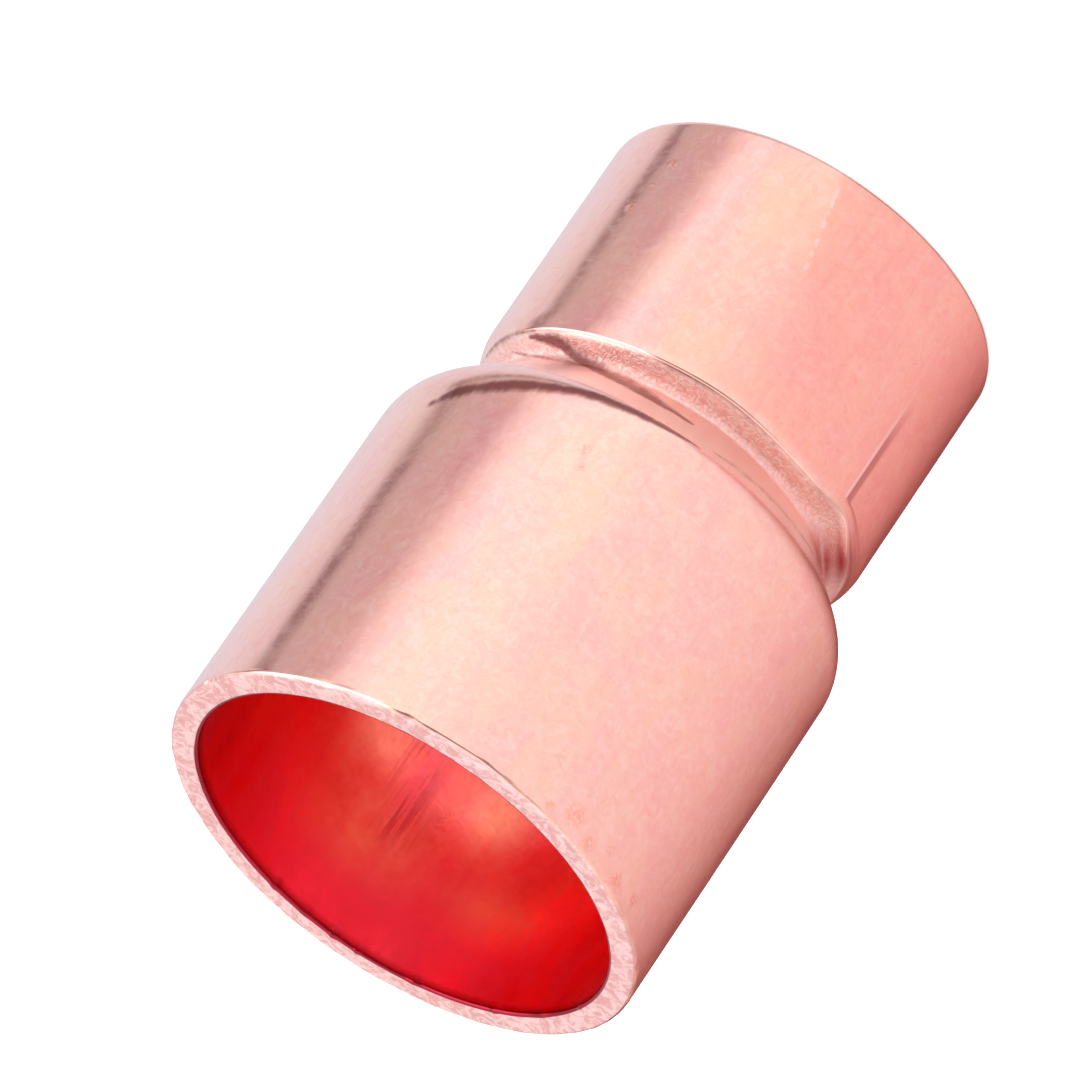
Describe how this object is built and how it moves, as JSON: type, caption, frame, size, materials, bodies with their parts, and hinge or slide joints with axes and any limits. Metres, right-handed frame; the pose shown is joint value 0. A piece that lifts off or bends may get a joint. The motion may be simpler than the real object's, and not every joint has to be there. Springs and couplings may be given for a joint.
{
  "type": "concentric reducer",
  "caption": "Concentric copper solder reducer: a wide tube socket, a rounded shoulder, a pinched neck and a narrower tube socket, open right through along its axis.",
  "frame": {"origin": "centre of the small socket's mouth, on the common axis, in the plane that the part stands on", "axes": "+Z along the common axis of both sockets, from the small mouth towards the large mouth; X and Y are across it, and the part looks the same all round"},
  "size_m": [0.0218, 0.0218, 0.0327],
  "materials": {
    "copper": "bare drawn copper, satin, with fine draw lines along the axis and matte sawn rims"
  },
  "bodies": {
    "root": {"reducer_body": "copper"}
  },
  "joints": []
}
